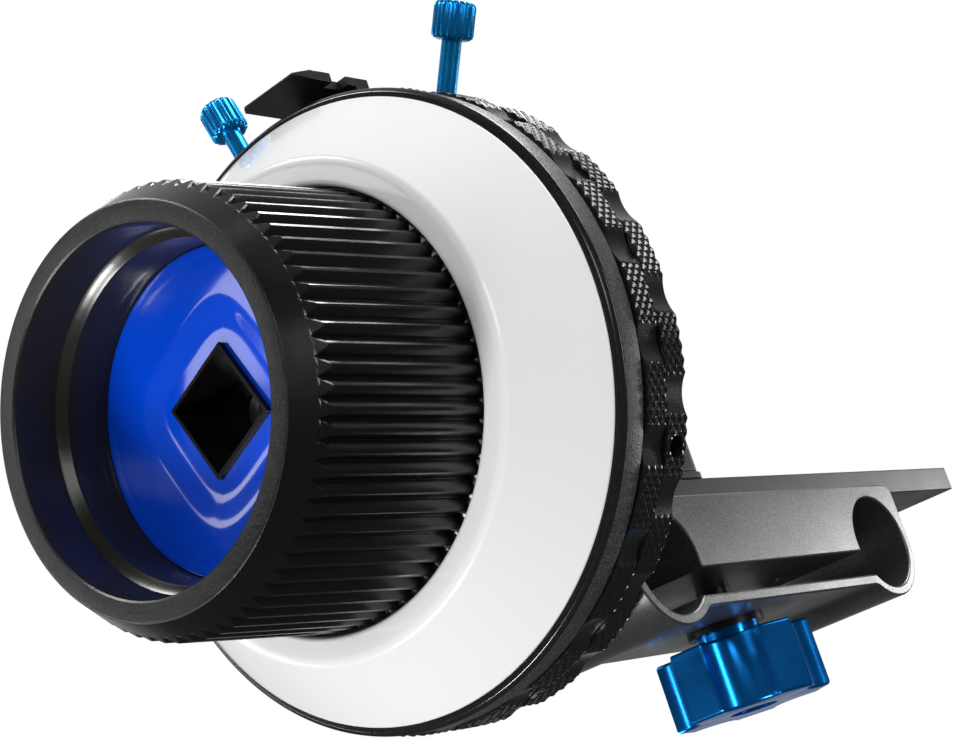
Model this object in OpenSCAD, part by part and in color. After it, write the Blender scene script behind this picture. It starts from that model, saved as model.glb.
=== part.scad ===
// Follow focus unit: a hand wheel with a marking disc and two stop rings turns a
// bevel gearbox, which slides on a clamp bracket for two parallel rods.
// Frame: the origin is the middle of the near rod bore. +X runs along the rods,
// +Y from the hand wheel towards the far rod, +Z up. All sizes in millimetres.

/* [Rod bracket] */
// Diameter of the bores that the rods pass through
rod_bore_d = 15.05; // [15.02:0.01:15.1]
// Distance between the two rod axes
rod_spacing = 60; // [50:1:90]
// Length of the bracket along the rods
bracket_depth = 28; // [24:1:40]
// Wall beside and below each bore
bore_wall = 1.5; // [1.2:0.1:3]
// Wall between the bores' crowns and the top face
crown_wall = 2; // [1.6:0.1:5]
// Radius of the two long top edges
top_edge_r = 2; // [0.5:0.5:3]
// Height of the clamping slot between the bores
slot_h = 4; // [3:0.5:5]
// Drop of the slot's upper face below the rod axes
slot_drop = 1.2; // [0.8:0.1:1.6]
// Thickness of the springy lower jaw
jaw_t = 1.6; // [1.4:0.1:1.9]
// Radius where the jaw blends into the bore walls
jaw_fillet_r = 2.5; // [1.5:0.5:4]

/* [Clamp knob and stud] */
// Reach of the knob's lobes from its axis
knob_reach = 12; // [10:0.5:14]
// Width of one lobe
lobe_w = 7.4; // [6:0.2:9]
// Offset of each flute's centre from the knob's two axes of symmetry
flute_offset = 8.6; // [8:0.1:9]
// Radius of the lobes' corners
lobe_corner_r = 1; // [0.5:0.1:1.5]
// Height of the lobed part
knob_h = 10.5; // [8:0.5:14]
// Turn of the lobes about the knob's axis
knob_turn = -20; // [-45:1:45]
// Radius of the knob's neck
knob_neck_r = 5; // [4:0.5:6]
// Height of the knob's neck
knob_neck_h = 1.7; // [1.2:0.1:4]
// Thickness of the washer above the neck
washer_t = 0.8; // [0.5:0.1:1.2]
// Diameter of the clamp stud and of the guide pin
stud_d = 5; // [4:0.5:6]
// Radius of the stud's flat head
stud_head_r = 4.3; // [3.8:0.1:5]
// Distance from the stud to the guide pin
pin_offset = 14; // [10:1:20]

/* [Slide rail] */
// Length of the rail
rail_len = 109.4; // [105:0.2:120]
// Width of the rail
rail_w = 40.6; // [36:0.2:46]
// Thickness of the rail
rail_t = 4; // [3.6:0.1:6]
// Thickness of the ledge that the stud's head pulls on
ledge_t = 2; // [1.6:0.1:2.4]
// Sideways play of the stud and the pin in the slot
slot_play = 0.1; // [0.06:0.01:0.15]
// Play between the stud's head and the sides of its channel
channel_play = 0.3; // [0.2:0.1:0.6]
// Travel of the arm across the rods
arm_travel = 30; // [10:1:32]

/* [Gearbox] */
// Length of the gearbox along the wheel's axis
box_len = 32.8; // [30:0.2:40]
// Thickness of the base plate
base_t = 1.2; // [1:0.1:2]
// How far the base plate stands out beyond the housing
base_lip = 0.3; // [0.1:0.1:0.6]
// Height of the wheel's axis above the rail
axis_above_rail = 19.3; // [18:0.1:22]
// Height of the housing above the wheel's axis
box_above_axis = 22; // [18:0.5:24]
// Thickness of the walls that carry the bushings
bush_wall = 5; // [5:0.5:7]
// Thickness of the other walls
box_wall = 3; // [2:0.5:4]
// Radius of the housing's upright edges
box_edge_r = 3; // [1:0.5:4]
// Offset of the wheel's axis from the middle of the bracket
axis_offset = 10.8; // [8:0.1:12]
// Gap between the turning parts and the gearbox
running_gap = 0.55; // [0.4:0.05:1]

/* [Gears and shafts] */
// Teeth of each bevel gear
bevel_teeth = 20; // [16:1:24]
// Module of the bevel gears at their large end
bevel_module = 1; // [0.8:0.1:1.1]
// Face width of the bevel gears, measured along their axes
bevel_face = 4; // [3:0.5:5]
// Teeth of the drive gear
drive_teeth = 40; // [32:1:44]
// Module of the drive gear
drive_module = 0.8; // [0.5:0.1:1]
// Face width of the drive gear
drive_face = 10; // [6:0.5:14]
// Diameter of both shafts
shaft_d = 8; // [6:0.5:8]
// Radial play of the shafts in their bushings
shaft_play = 0.05; // [0.02:0.01:0.08]
// Wall of the bushings
bush_t = 2; // [1.5:0.5:3]
// Length of the collar between the housing and the drive gear
collar_len = 2; // [1.5:0.5:4]

/* [Hand wheel] */
// Length of the hand wheel
grip_len = 32; // [28:0.5:40]
// Radius of the grip at its front
grip_front_r = 29; // [27:0.5:29.5]
// Radius of the grip at its back
grip_back_r = 30; // [29.6:0.1:32]
// Outer radius of the flat front face
front_face_r = 26.2; // [25:0.1:27]
// Radius of the front recess
recess_r = 23.3; // [22.6:0.1:24]
// Length of the bevel behind the front face
bevel_len = 5; // [3:0.5:8]
// Number of grooves round the grip
groove_count = 72; // [48:1:90]
// Radius at the bottom of the grooves
groove_root_r = 28; // [27.5:0.1:28.4]
// Width of a groove at the front of the grip
groove_w = 1.9; // [1.4:0.1:2.1]
// Depth of the blue cap's face below the front face
cap_depth = 14.4; // [10:0.2:18]
// Radius of the blue cap
cap_r = 21.7; // [20:0.1:22.2]
// Thickness of the blue cap
cap_t = 3; // [2:0.5:5]
// Depth of the step in the recess wall
step_depth = 7; // [4:0.5:10]
// Side of the square crank socket
socket_w = 11.5; // [8:0.5:12]
// Wall of the socket sleeve
socket_wall = 0.5; // [0.4:0.1:1]
// Depth of the crank socket
socket_depth = 8; // [6:0.5:10]
// Turn of the socket about the wheel's axis
socket_turn = 22.5; // [0:0.5:45]

/* [Marking disc and stop rings] */
// Radius of the disc's edge
disc_r = 43.5; // [40:0.5:44]
// Depth of the disc from its raised boss to its back
disc_t = 10.5; // [8:0.5:12]
// Outer radius of the raised boss
boss_r = 33.5; // [32.5:0.5:35]
// Radius where the boss blends into the cone
cone_top_r = 35; // [34:0.5:37]
// Radial play of the disc on the carrier
disc_play = 0.05; // [0.02:0.01:0.1]
// Radius of the black carrier rim
rim_r = 44.8; // [44.2:0.1:46]
// Width of the carrier rim
rim_w = 4.5; // [4:0.1:6]
// Outer radius of the stop rings
ring_r = 45.3; // [44.9:0.1:47]
// Width of each stop ring
ring_w = 4.4; // [4:0.1:6]
// Thickness of the stop rings, from the drum to their lands
ring_wall = 7.3; // [6:0.1:9]
// Radial play of the stop rings on the drum
ring_play = 0.08; // [0.04:0.01:0.1]
// Side gap between the rings and their neighbours
ring_gap = 0.15; // [0.1:0.05:0.3]
// Number of scallops round each stop ring
scallop_count = 21; // [16:1:28]
// Radius of each scallop
scallop_r = 6.5; // [4:0.5:9]
// Depth of each scallop
scallop_depth = 0.8; // [0.4:0.1:1.2]
// Thickness of the plate that keeps the rings on the drum
retainer_t = 0.6; // [0.4:0.1:1]

/* [Stop screws] */
// Diameter of the shank
stop_shank_d = 2.9; // [2.5:0.1:3.4]
// Radial play of the shank in its threaded hole
thread_play = 0.05; // [0.02:0.01:0.1]
// Diameter of the knurled head
stop_head_d = 6; // [5:0.2:6.4]
// Length of the knurled head
stop_head_len = 5.4; // [4:0.2:8]
// Radius, from the wheel's axis, where the head begins
stop_head_seat = 52.8; // [51:0.2:56]
// Number of flutes round the head
flute_count = 12; // [8:1:18]
// Angle of stop screw A, clockwise from the top as seen from the front
stop_a_angle = -14.7; // [-60:0.1:-12]
// Angle of stop screw B, clockwise from the top as seen from the front
stop_b_angle = 30.8; // [20:0.1:60]
// Angle from each screw to its ring's spare hole
spare_angle = 88; // [60:1:120]

/* [Index pointer] */
// Half the width of the pointer
pointer_half_w = 5.8; // [4:0.1:7]
// Height of the pointer's underside above the wheel's axis
pointer_rise = 50; // [48:0.5:51]
// Thickness of the pointer
pointer_t = 1.5; // [1.2:0.1:2.5]
// Reach of the pointer in front of the gearbox
pointer_reach = 13.6; // [12:0.1:15]
// Depth of the notch that receives stop screw B
notch_depth = 1.8; // [1:0.1:2.5]
// Length of the notch
notch_len = 3.4; // [3.2:0.1:4.4]
// Thickness of the pointer's sharp front edge
pointer_edge_t = 0.4; // [0.3:0.1:0.8]
// Length of the bevel behind the sharp edge
pointer_bevel_len = 4; // [2:0.5:6]
// Thickness of the pointer's post
post_t = 3; // [2:0.5:4]
// Length of the post's foot on the housing
foot_len = 12; // [10:0.5:16]

/* [Fasteners] */
// Diameter of the gearbox, wheel and pointer screws
screw_d = 3; // [2:0.5:3]
// Diameter of the screw heads
screw_head_d = 5.5; // [4:0.5:6]
// Height of the screw heads
screw_head_h = 1.7; // [1.2:0.1:2]
// Diameter of the small screws in the disc and the retainer
small_screw_d = 2; // [1.5:0.1:2]
// Radial play round screw shanks and heads
screw_play = 0.1; // [0.05:0.05:0.2]

/* [Hidden] */
$fn = 96;
BLACK = [0.09, 0.09, 0.1];
GREY = [0.3, 0.3, 0.31];
BLUE = [0.02, 0.3, 0.62];
CAP_BLUE = [0.01, 0.12, 0.6];
WHITE = [0.93, 0.92, 0.92];
STEEL = [0.68, 0.69, 0.7];
BRASS = [0.74, 0.58, 0.3];
over = 1;
seat_play = 0.02;

// Bracket levels
bore_r = rod_bore_d / 2;
bore_out_r = bore_r + bore_wall;
bracket_top = bore_r + crown_wall;
slot_top = -slot_drop;
slot_floor = slot_top - slot_h;
jaw_bottom = slot_floor - jaw_t;
stud_y = rod_spacing / 2;
stud_r = stud_d / 2;
washer_bottom = jaw_bottom - washer_t;
knob_top = washer_bottom - knob_neck_h;
knob_bottom = knob_top - knob_h;
knob_recess_h = 1;
knob_recess_r = 3.6;

// Rail and gearbox levels
rail_top = bracket_top + rail_t;
box_bottom = rail_top + base_t;
axis_x = -axis_offset;
axis_z = rail_top + axis_above_rail;
box_top = axis_z + box_above_axis;

// Distances along the wheel's axis, counted from the hand wheel's front face
cap_back = cap_depth + cap_t;
web_t = 4.6;
web_back = cap_back + web_t;
disc_front = grip_len - 1.5;
rim_front = disc_front + disc_t + ring_gap;
rim_back = rim_front + rim_w;
ring_a_front = rim_back + ring_gap;
ring_b_front = ring_a_front + ring_w + ring_gap;
drum_back = ring_b_front + ring_w + ring_gap;
retainer_back = drum_back + retainer_t;
box_front = retainer_back + running_gap;
bevel_r = bevel_module * bevel_teeth / 2;

// The bracket's near wall stays clear of the stop screws' heads, which turn past it
head_clearance = 0.3;
stop_b_w = ring_b_front + ring_w / 2;
face_y = -bore_out_r - head_clearance - stop_b_w - stop_head_d / 2;
box_y = face_y + box_front;
drive_y = box_y + box_len / 2;

// Drum that the stop rings ride on
drum_r = ring_r - ring_wall;
drum_wall = 4;
drum_inner_r = drum_r - drum_wall;

// Hub of the hand wheel
hub_r = 12;
shaft_r = shaft_d / 2;
socket_out = socket_w + 2 * socket_wall;
socket_front = cap_depth - 0.2;
socket_floor = socket_front + socket_depth;
hub_floor = socket_floor + screw_head_h + screw_play + 0.2;
hub_floor_t = 1.6;
shaft_front = hub_floor + hub_floor_t;
flat_depth = 1;
key_play = 0.03;
rear_wall_r = 22;
carrier_screw_r = 26.4;
carrier_boss_inner_r = 23;
carrier_boss_r = grip_back_r + 0.3 - disc_play;
carrier_web_t = 2;
disc_screw_r = drum_r + drum_wall / 2;
retainer_screw_r = drum_r - drum_wall / 2;
retainer_r = drum_r + drum_wall / 2;
small_screw_turn = 30;
small_screw_bite = 3;

// Input shaft reaches the small end of the input bevel gear
bevel_small_end = bevel_r - bevel_face;
input_end = box_front + box_len / 2 - bevel_small_end;
box_side = rail_w / 2;
bevel_backlash = 0.07;
tooth_fraction = 0.5 - bevel_backlash;

// Drive side
bush_outer_r = shaft_r + bush_t;
flange_r = bush_outer_r + 2;
flange_t = 0.8;
collar_start = box_side + flange_t + 0.1;
gear_in = box_side + collar_len;
gear_out = gear_in + drive_face;
gear_washer_t = 1;
gear_washer_r = 6.5;

// ---- Frames and shared shapes ----

// Puts children, drawn with +Z away from the user, on the wheel's axis
module on_wheel_axis() {
    translate([axis_x, face_y, axis_z]) rotate([-90, 0, 0]) children();
}

// Puts children, drawn with +Z outwards, on the drive gear's axis, pointing along -X
module on_drive_axis() {
    translate([axis_x, drive_y, axis_z]) rotate([0, -90, 0]) children();
}

// Turns children that point along +X to an angle clockwise from the top, seen from the front
module at_clock(angle) {
    rotate([0, 0, angle - 90]) children();
}

module ring(outer_r, inner_r, from, to) {
    translate([0, 0, from]) difference() {
        cylinder(r = outer_r, h = to - from);
        translate([0, 0, -over]) cylinder(r = inner_r, h = to - from + 2 * over);
    }
}

// Flat-headed screw from its head's top at z = 0, pointing down
module flat_screw(shank_d, head_d, head_h, len) {
    difference() {
        union() {
            translate([0, 0, -head_h]) cylinder(r1 = shank_d / 2, r2 = head_d / 2, h = head_h);
            translate([0, 0, -len]) cylinder(d = shank_d, h = len - head_h);
        }
        translate([0, 0, -head_h * 0.5]) cylinder(d = shank_d * 0.7, h = head_h, $fn = 6);
    }
}

// The room that a flat-headed screw needs
module flat_screw_room(shank_d, head_d, head_h, len) {
    translate([0, 0, -head_h])
        cylinder(r1 = shank_d / 2 + screw_play, r2 = head_d / 2 + screw_play, h = head_h);
    cylinder(d = head_d + 2 * screw_play, h = over);
    translate([0, 0, -len]) cylinder(d = shank_d + 2 * screw_play, h = len);
}

// Socket-head screw from its head's top at z = 0, pointing down
module cap_screw(len) {
    difference() {
        union() {
            translate([0, 0, -screw_head_h]) cylinder(d = screw_head_d, h = screw_head_h);
            translate([0, 0, -len]) cylinder(d = screw_d, h = len - screw_head_h);
        }
        translate([0, 0, -screw_head_h * 0.6]) cylinder(d = screw_d * 0.8, h = screw_head_h, $fn = 6);
    }
}

// One gear outline with straight-flanked teeth
function gear_points(teeth, mod, fraction) = [
    for (i = [0 : teeth - 1])
        let (
            step = 360 / teeth,
            pitch_r = teeth * mod / 2,
            half = step * fraction / 2,
            root_r = pitch_r - 1.2 * mod,
            tip_r = pitch_r + 0.9 * mod
        )
        for (c = [[-half * 1.55, root_r], [-half * 0.5, tip_r], [half * 0.5, tip_r], [half * 1.55, root_r]])
            c[1] * [cos(i * step + c[0]), sin(i * step + c[0])]
];

// Bevel gear with its large end at z = 0, tapering to the point where the axes cross
module bevel_gear(turn) {
    scale_end = bevel_small_end / bevel_r;
    difference() {
        linear_extrude(height = bevel_face, scale = scale_end)
            rotate(turn) polygon(gear_points(bevel_teeth, bevel_module, tooth_fraction));
        translate([0, 0, -over]) cylinder(r = shaft_r, h = bevel_face + 2 * over);
    }
}

// Plain bushing with an outer flange; z = 0 is the housing's outer face, +z outwards
module bushing() {
    difference() {
        union() {
            translate([0, 0, -bush_wall]) cylinder(r = bush_outer_r, h = bush_wall);
            cylinder(r = flange_r, h = flange_t);
        }
        translate([0, 0, -bush_wall - over])
            cylinder(r = shaft_r + shaft_play, h = bush_wall + flange_t + 2 * over);
    }
}

// ---- Rod bracket and clamp ----

// Points of an arc about a centre, from one angle to another
function arc_points(centre, r, from, to, steps) =
    [for (i = [0 : steps]) let (a = from + (to - from) * i / steps) centre + r * [cos(a), sin(a)]];

// Near half of the bracket's outline, from the middle of the jaw to the middle of the top
function near_outline() =
    let (
        reach = bore_out_r + jaw_fillet_r,
        fillet_z = jaw_bottom - jaw_fillet_r,
        fillet_y = sqrt(reach * reach - fillet_z * fillet_z),
        meet = atan2(fillet_z, fillet_y),
        corner = [top_edge_r - bore_out_r, bracket_top - top_edge_r]
    )
    concat(
        arc_points([fillet_y, fillet_z], jaw_fillet_r, 90, 180 + meet, 8),
        arc_points([0, 0], bore_out_r, meet, -180, 28),
        arc_points(corner, top_edge_r, 180, 90, 8)
    );

module bracket_outline() {
    near = near_outline();
    last = len(near) - 1;
    far = [for (i = [last : -1 : 0]) [rod_spacing - near[i][0], near[i][1]]];
    polygon(concat(near, far));
}

module rod_bracket() {
    color(GREY) difference() {
        translate([-bracket_depth / 2, 0, 0]) rotate([90, 0, 90])
            linear_extrude(height = bracket_depth) bracket_outline();
        for (y = [0, rod_spacing]) translate([-bracket_depth / 2 - over, y, 0]) rotate([0, 90, 0])
            cylinder(r = bore_r, h = bracket_depth + 2 * over);
        translate([-bracket_depth / 2 - over, 0, slot_floor])
            cube([bracket_depth + 2 * over, rod_spacing, slot_h]);
        translate([0, stud_y, jaw_bottom - over])
            cylinder(r = stud_r + slot_play, h = bracket_top - jaw_bottom + 2 * over);
        translate([0, stud_y + pin_offset, slot_top - over])
            cylinder(r = stud_r, h = bracket_top - slot_top + 2 * over);
    }
}

module clamp_stud() {
    head_bottom = bracket_top + ledge_t + slot_play;
    color(STEEL) translate([0, stud_y, 0]) difference() {
        union() {
            translate([0, 0, knob_bottom + knob_recess_h])
                cylinder(r = stud_r, h = head_bottom - knob_bottom - knob_recess_h);
            translate([0, 0, head_bottom]) cylinder(r = stud_head_r, h = rail_top - head_bottom - 0.3);
        }
        translate([0, 0, rail_top - 1.2]) cylinder(r = stud_r * 0.7, h = 2, $fn = 6);
    }
}

module guide_pin() {
    color(STEEL) translate([0, stud_y + pin_offset, slot_top])
        cylinder(r = stud_r, h = bracket_top + ledge_t - 0.3 - slot_top);
}

module clamp_washer() {
    color(STEEL) translate([0, stud_y, 0])
        ring(knob_neck_r + 1, stud_r + slot_play, washer_bottom, jaw_bottom);
}

module knob_outline() {
    tip = knob_reach - lobe_corner_r;
    side = lobe_w / 2 - lobe_corner_r;
    for (a = [0 : 90 : 270]) rotate(a) {
        translate([0, -lobe_w / 2]) square([tip, lobe_w]);
        translate([0, -side]) square([knob_reach, 2 * side]);
        for (s = [-1, 1]) translate([tip, s * side]) circle(r = lobe_corner_r);
        difference() {
            square(flute_offset);
            translate([flute_offset, flute_offset]) circle(r = flute_offset - lobe_w / 2);
        }
    }
}

module clamp_knob() {
    color(BLUE) translate([0, stud_y, 0]) difference() {
        union() {
            translate([0, 0, knob_bottom]) rotate(knob_turn)
                linear_extrude(height = knob_h) knob_outline();
            translate([0, 0, knob_top - over]) cylinder(r = knob_neck_r, h = knob_neck_h + over);
        }
        translate([0, 0, knob_bottom - over])
            cylinder(r = stud_r + thread_play, h = knob_h + knob_neck_h + 2 * over);
        translate([0, 0, knob_bottom - over]) cylinder(r = knob_recess_r, h = knob_recess_h + over);
    }
}

// ---- Slide rail ----

rail_slot_r = stud_r + slot_play;
channel_r = stud_head_r + channel_play;
rail_slot_start = stud_y;
rail_slot_end = stud_y + pin_offset + arm_travel;
rail_screw_x = box_side - 6;
rail_screw_y = [box_y + 5.5, box_y + box_len - 5.5];
rail_screw_bite = 7;
rail_screw_len = rail_t + base_t + rail_screw_bite;

// A slot from one y to another, open through the given heights
module rail_slot(r, from_y, to_y, from_z, to_z) {
    for (y = [from_y, to_y]) translate([0, y, from_z]) cylinder(r = r, h = to_z - from_z);
    translate([-r, from_y, from_z]) cube([2 * r, to_y - from_y, to_z - from_z]);
}

module at_rail_screws() {
    for (x = [-rail_screw_x, rail_screw_x], y = rail_screw_y)
        translate([axis_x + x, y, bracket_top + 0.2]) rotate([180, 0, 0]) children();
}

module slide_rail() {
    color(BLACK) difference() {
        translate([axis_x - rail_w / 2, box_y, bracket_top]) cube([rail_w, rail_len, rail_t]);
        rail_slot(rail_slot_r, rail_slot_start, rail_slot_end, bracket_top - over, rail_top + over);
        rail_slot(channel_r, rail_slot_start, rail_slot_end, bracket_top + ledge_t, rail_top + over);
        at_rail_screws() flat_screw_room(screw_d, screw_head_d, screw_head_h, rail_screw_len);
    }
}

module rail_screws() {
    color(STEEL) at_rail_screws() flat_screw(screw_d, screw_head_d, screw_head_h, rail_screw_len);
}

// ---- Gearbox ----

// Box with rounded upright edges, centred on the wheel's axis in x
module upright_box(grow, from_z, to_z) {
    half = box_side + grow;
    r = box_edge_r;
    translate([axis_x, box_y, from_z]) linear_extrude(height = to_z - from_z) {
        translate([-half + r, 0]) square([2 * half - 2 * r, box_len + grow]);
        translate([-half, r]) square([2 * half, box_len + grow - 2 * r]);
        for (x = [-half + r, half - r], y = [r, box_len + grow - r]) translate([x, y]) circle(r = r);
    }
}

module gearbox_base() {
    color(BLACK) difference() {
        upright_box(base_lip, rail_top, box_bottom - 0.15);
        at_rail_screws() flat_screw_room(screw_d, screw_head_d, screw_head_h, rail_screw_len);
    }
}

pointer_screw_x = pointer_half_w - 3;
pointer_screw_y = box_y + foot_len - 4;
pointer_screw_bite = 6;
pointer_screw_len = pointer_t + pointer_screw_bite;

module at_pointer_screws() {
    for (s = [-1, 1])
        translate([axis_x + s * pointer_screw_x, pointer_screw_y, box_top + pointer_t]) children();
}

module gearbox_housing() {
    cavity_top = axis_z + bevel_r + 3;
    cavity_walls = bush_wall + box_wall;
    color(BLACK) difference() {
        upright_box(0, box_bottom, box_top);
        translate([axis_x - box_side + bush_wall, box_y + bush_wall, box_bottom - over])
            cube([2 * box_side - cavity_walls, box_len - cavity_walls, cavity_top - box_bottom + over]);
        translate([axis_x, box_y - over, axis_z]) rotate([-90, 0, 0])
            cylinder(r = bush_outer_r + seat_play, h = bush_wall + 2 * over);
        translate([axis_x - box_side - over, drive_y, axis_z]) rotate([0, 90, 0])
            cylinder(r = bush_outer_r + seat_play, h = bush_wall + 2 * over);
        at_rail_screws() translate([0, 0, -rail_screw_len - 0.5])
            cylinder(d = screw_d, h = rail_screw_len);
        at_pointer_screws() translate([0, 0, -pointer_screw_len - 0.5])
            cylinder(d = screw_d - 1, h = pointer_screw_len);
    }
}

module input_bushing() {
    color(BRASS) translate([axis_x, box_y, axis_z]) rotate([90, 0, 0]) bushing();
}

module output_bushing() {
    color(BRASS) translate([axis_x - box_side, drive_y, axis_z]) rotate([0, -90, 0]) bushing();
}

// ---- Index pointer ----

module pointer_side_outline() {
    front = box_y - pointer_reach;
    under = axis_z + pointer_rise;
    back = box_y + post_t;
    polygon([
        [front, under], [front, under + pointer_edge_t], [front + pointer_bevel_len, under + pointer_t],
        [back, under + pointer_t], [back, box_top + pointer_t], [box_y + foot_len, box_top + pointer_t],
        [box_y + foot_len, box_top], [box_y, box_top], [box_y, under]
    ]);
}

module index_pointer() {
    notch_y = face_y + stop_b_w;
    under = axis_z + pointer_rise;
    color(BLACK) difference() {
        translate([axis_x - pointer_half_w, 0, 0]) rotate([90, 0, 90])
            linear_extrude(height = 2 * pointer_half_w) pointer_side_outline();
        translate([axis_x + pointer_half_w - notch_depth, notch_y - notch_len / 2, under - over])
            cube([notch_depth + over, notch_len, pointer_t + 2 * over]);
        translate([axis_x - pointer_half_w, box_y - pointer_reach, under - over])
            rotate(45) cube([1.6, 1.6, 2 * pointer_t + 2 * over], center = true);
        at_pointer_screws() translate([0, 0, -pointer_t - over])
            cylinder(d = screw_d - 1 + 2 * screw_play, h = pointer_t + 2 * over);
    }
}

module pointer_screws() {
    color(STEEL) at_pointer_screws() difference() {
        union() {
            cylinder(d = screw_d + 1.4, h = screw_head_h);
            translate([0, 0, -pointer_screw_len]) cylinder(d = screw_d - 1, h = pointer_screw_len);
        }
        translate([0, 0, screw_head_h * 0.4]) cylinder(d = screw_d * 0.6, h = screw_head_h, $fn = 6);
    }
}

// ---- Shafts and gears ----

// Shaft section with a driving flat, drawn with +Z along the shaft
module flatted_rod(r, len) {
    difference() {
        cylinder(r = r, h = len);
        translate([r - flat_depth, -r - over, -over])
            cube([flat_depth + over, 2 * (r + over), len + 2 * over]);
    }
}

module input_shaft() {
    color(STEEL) on_wheel_axis() difference() {
        union() {
            translate([0, 0, shaft_front]) flatted_rod(shaft_r, grip_len - shaft_front);
            translate([0, 0, grip_len]) cylinder(r = shaft_r, h = input_end - grip_len);
        }
        translate([0, 0, shaft_front - over]) cylinder(d = screw_d, h = 10);
    }
}

module input_bevel_gear() {
    large_end = box_front + box_len / 2 - bevel_r;
    color(STEEL) on_wheel_axis() translate([0, 0, large_end]) bevel_gear(0);
}

module output_shaft() {
    inner_end = bevel_small_end;
    color(STEEL) on_drive_axis() difference() {
        union() {
            translate([0, 0, inner_end]) cylinder(r = shaft_r, h = gear_in - inner_end);
            translate([0, 0, collar_start]) cylinder(r = shaft_r + 1.5, h = gear_in - collar_start);
            translate([0, 0, gear_in]) flatted_rod(shaft_r, drive_face - 0.3);
        }
        translate([0, 0, gear_out - 10]) cylinder(d = screw_d, h = 10);
    }
}

module output_bevel_gear() {
    half_tooth = 180 / bevel_teeth;
    color(STEEL) on_drive_axis() translate([0, 0, bevel_r]) mirror([0, 0, 1])
        bevel_gear(90 + half_tooth);
}

module drive_gear() {
    pitch_r = drive_teeth * drive_module / 2;
    web_r = pitch_r - 3;
    color(BLACK) on_drive_axis() difference() {
        translate([0, 0, gear_in]) linear_extrude(height = drive_face)
            polygon(gear_points(drive_teeth, drive_module, 0.5));
        translate([0, 0, gear_in - over]) flatted_rod(shaft_r + key_play, drive_face + 2 * over);
        translate([0, 0, gear_out - 3]) ring(web_r, gear_washer_r + 1.5, 0, 3 + over);
    }
}

module gear_washer() {
    color(STEEL) on_drive_axis()
        ring(gear_washer_r, screw_d / 2 + screw_play, gear_out, gear_out + gear_washer_t);
}

module gear_screw() {
    color(STEEL) on_drive_axis() translate([0, 0, gear_out + gear_washer_t + screw_head_h]) cap_screw(10);
}

// ---- Hand wheel ----

groove_tilt = atan((grip_back_r - grip_front_r) / (grip_len - bevel_len));

// Cutter for one groove, pointing along +X, open outwards
module groove_cutter() {
    cut_h = 4;
    half = groove_w / 2 * cut_h / (grip_front_r - groove_root_r);
    translate([groove_root_r, 0, 0]) rotate([0, groove_tilt, 0]) translate([0, 0, 1])
        linear_extrude(height = grip_len + 2) polygon([[0, 0], [cut_h, -half], [cut_h, half]]);
}

module wheel_profile() {
    step_chamfer = 0.5;
    polygon([
        [recess_r, 0], [front_face_r, 0], [grip_front_r, bevel_len], [grip_back_r, grip_len],
        [rear_wall_r, grip_len], [rear_wall_r, web_back], [hub_r, web_back], [hub_r, grip_len],
        [0, grip_len], [0, cap_back], [cap_r + 0.05, cap_back],
        [cap_r + 0.05, step_depth + step_chamfer + 0.6], [cap_r + 0.6, step_depth + step_chamfer],
        [recess_r - step_chamfer, step_depth], [recess_r, step_depth - step_chamfer]
    ]);
}

module hand_wheel() {
    color(BLACK) on_wheel_axis() difference() {
        rotate_extrude($fn = 144) wheel_profile();
        for (i = [0 : groove_count - 1]) rotate(i * 360 / groove_count) groove_cutter();
        socket_block(cap_back - over, socket_floor + 0.1, socket_out + 0.1);
        translate([0, 0, cap_back]) cylinder(d = screw_head_d + 0.6, h = hub_floor - cap_back);
        translate([0, 0, hub_floor - over])
            cylinder(d = screw_d + 2 * screw_play, h = hub_floor_t + 2 * over);
        translate([0, 0, shaft_front]) flatted_rod(shaft_r + key_play, grip_len);
        at_three(carrier_screw_r, 0) translate([0, 0, grip_len - 8]) cylinder(d = screw_d, h = 9);
    }
}

// A square block across the wheel's axis, turned as the socket is
module socket_block(from, to, side) {
    at_clock(socket_turn) rotate(45) translate([-side / 2, -side / 2, from]) cube([side, side, to - from]);
}

module hub_cap() {
    dish_r = 60;
    dish_rim_r = 16;
    dish_sag = dish_r - sqrt(dish_r * dish_r - dish_rim_r * dish_rim_r);
    color(CAP_BLUE) on_wheel_axis() difference() {
        translate([0, 0, cap_depth]) cylinder(r = cap_r, h = cap_t);
        translate([0, 0, cap_depth - dish_r + dish_sag * 0.25]) sphere(r = dish_r, $fn = 144);
        socket_block(cap_depth - over, cap_back + over, socket_out + 0.06);
    }
}

module crank_socket() {
    color(BLACK) on_wheel_axis() difference() {
        socket_block(socket_front, socket_floor, socket_out);
        socket_block(socket_front - over, socket_floor + over, socket_w);
    }
}

module hub_screw() {
    color(STEEL) on_wheel_axis() translate([0, 0, hub_floor - screw_head_h]) mirror([0, 0, 1]) cap_screw(9);
}

// ---- Carrier, marking disc and stop rings ----

module at_three(r, turn) {
    for (a = [0 : 120 : 240]) rotate(a + turn) translate([r, 0, 0]) children();
}

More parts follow.
